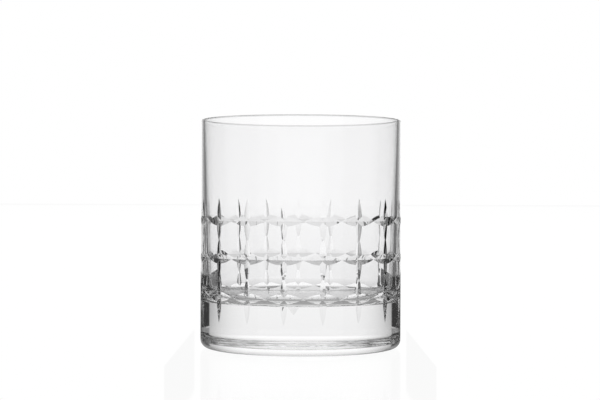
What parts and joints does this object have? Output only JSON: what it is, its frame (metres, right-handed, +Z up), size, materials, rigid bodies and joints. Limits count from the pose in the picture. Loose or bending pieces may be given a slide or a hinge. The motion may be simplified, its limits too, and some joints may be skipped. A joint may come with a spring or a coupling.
{
  "type": "whiskey tumbler",
  "caption": "Straight-sided clear crystal whiskey tumbler with a heavy solid base and rings of crossed leaf cuts around its side.",
  "frame": {"origin": "centre of the base, in the plane that the tumbler stands on", "axes": "+Z up along the tumbler's axis, -Y towards the front, with the plain strip between two columns of cuts on -Y, and +X to the viewer's right"},
  "size_m": [0.086, 0.086, 0.0976],
  "materials": {
    "clear_crystal": "clear colourless crystal, fire-polished, with polished V cuts"
  },
  "bodies": {
    "root": {"tumbler_glass": "clear_crystal"}
  },
  "joints": []
}
